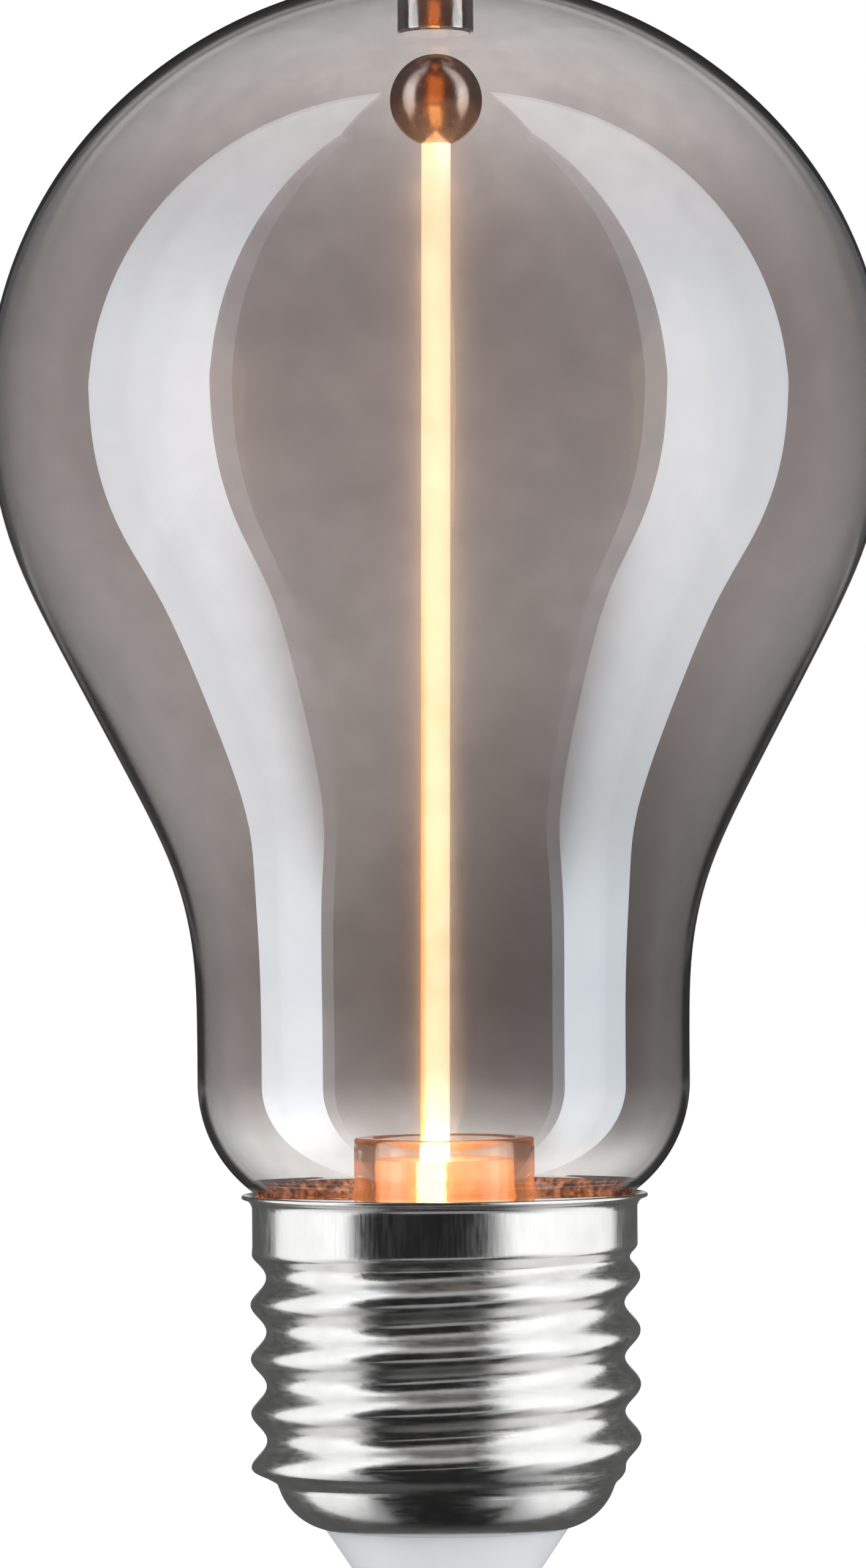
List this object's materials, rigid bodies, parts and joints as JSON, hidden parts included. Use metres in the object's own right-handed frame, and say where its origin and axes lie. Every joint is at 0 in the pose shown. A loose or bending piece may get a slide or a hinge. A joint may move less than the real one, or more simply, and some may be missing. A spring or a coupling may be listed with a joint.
{
  "type": "pear-shaped led bulb",
  "caption": "Pear-shaped LED bulb in smoked glass: an upright light rod ends in a steel ball under a crown magnet, on a round-threaded screw cap.",
  "frame": {"origin": "on the lamp's axis, at the tip of the centre contact", "axes": "+Z along the lamp's axis from the cap to the crown; +X to the right and +Y away from the viewer in the picture's view"},
  "size_m": [0.0604, 0.0604, 0.1086],
  "materials": {
    "nickel_plate": "bright nickel on rolled sheet",
    "white_moulding": "satin white moulding",
    "pale_wire": "white insulation",
    "dark_wire": "black insulation",
    "board_laminate": "paper laminate",
    "capacitor_sleeve": "shrunk sleeve",
    "black_moulding": "moulded epoxy",
    "resistor_lacquer": "lacquer",
    "capping_cement": "rough set cement",
    "clear_glass": "clear, fire-polished",
    "amber_potting": "cast potting",
    "tinned_tab": "tinned",
    "light_rod": "phosphor coat, lit",
    "polished_steel": "polished",
    "magnet_plate": "nickel plated",
    "clear_glue": "clear cured adhesive",
    "smoked_glass": "smoke-coated blown glass"
  },
  "bodies": {
    "root": {"centre_contact": "nickel_plate", "base_insulator": "white_moulding", "screw_shell": "nickel_plate", "neutral_wire": "pale_wire", "live_wire": "dark_wire", "driver_board": "board_laminate", "smoothing_capacitor": "capacitor_sleeve", "bridge_rectifier": "black_moulding", "driver_chip": "black_moulding", "fuse_resistor": "resistor_lacquer", "chip_resistors": "black_moulding", "cement_ring": "capping_cement", "glass_stem": "clear_glass", "filament_plug": "amber_potting", "filament_terminals": "tinned_tab", "positive_lead": "pale_wire", "negative_lead": "dark_wire", "filament_rod": "light_rod", "filament_ball": "polished_steel", "crown_magnet": "magnet_plate", "magnet_glue": "clear_glue", "glass_bulb": "smoked_glass"}
  },
  "joints": []
}
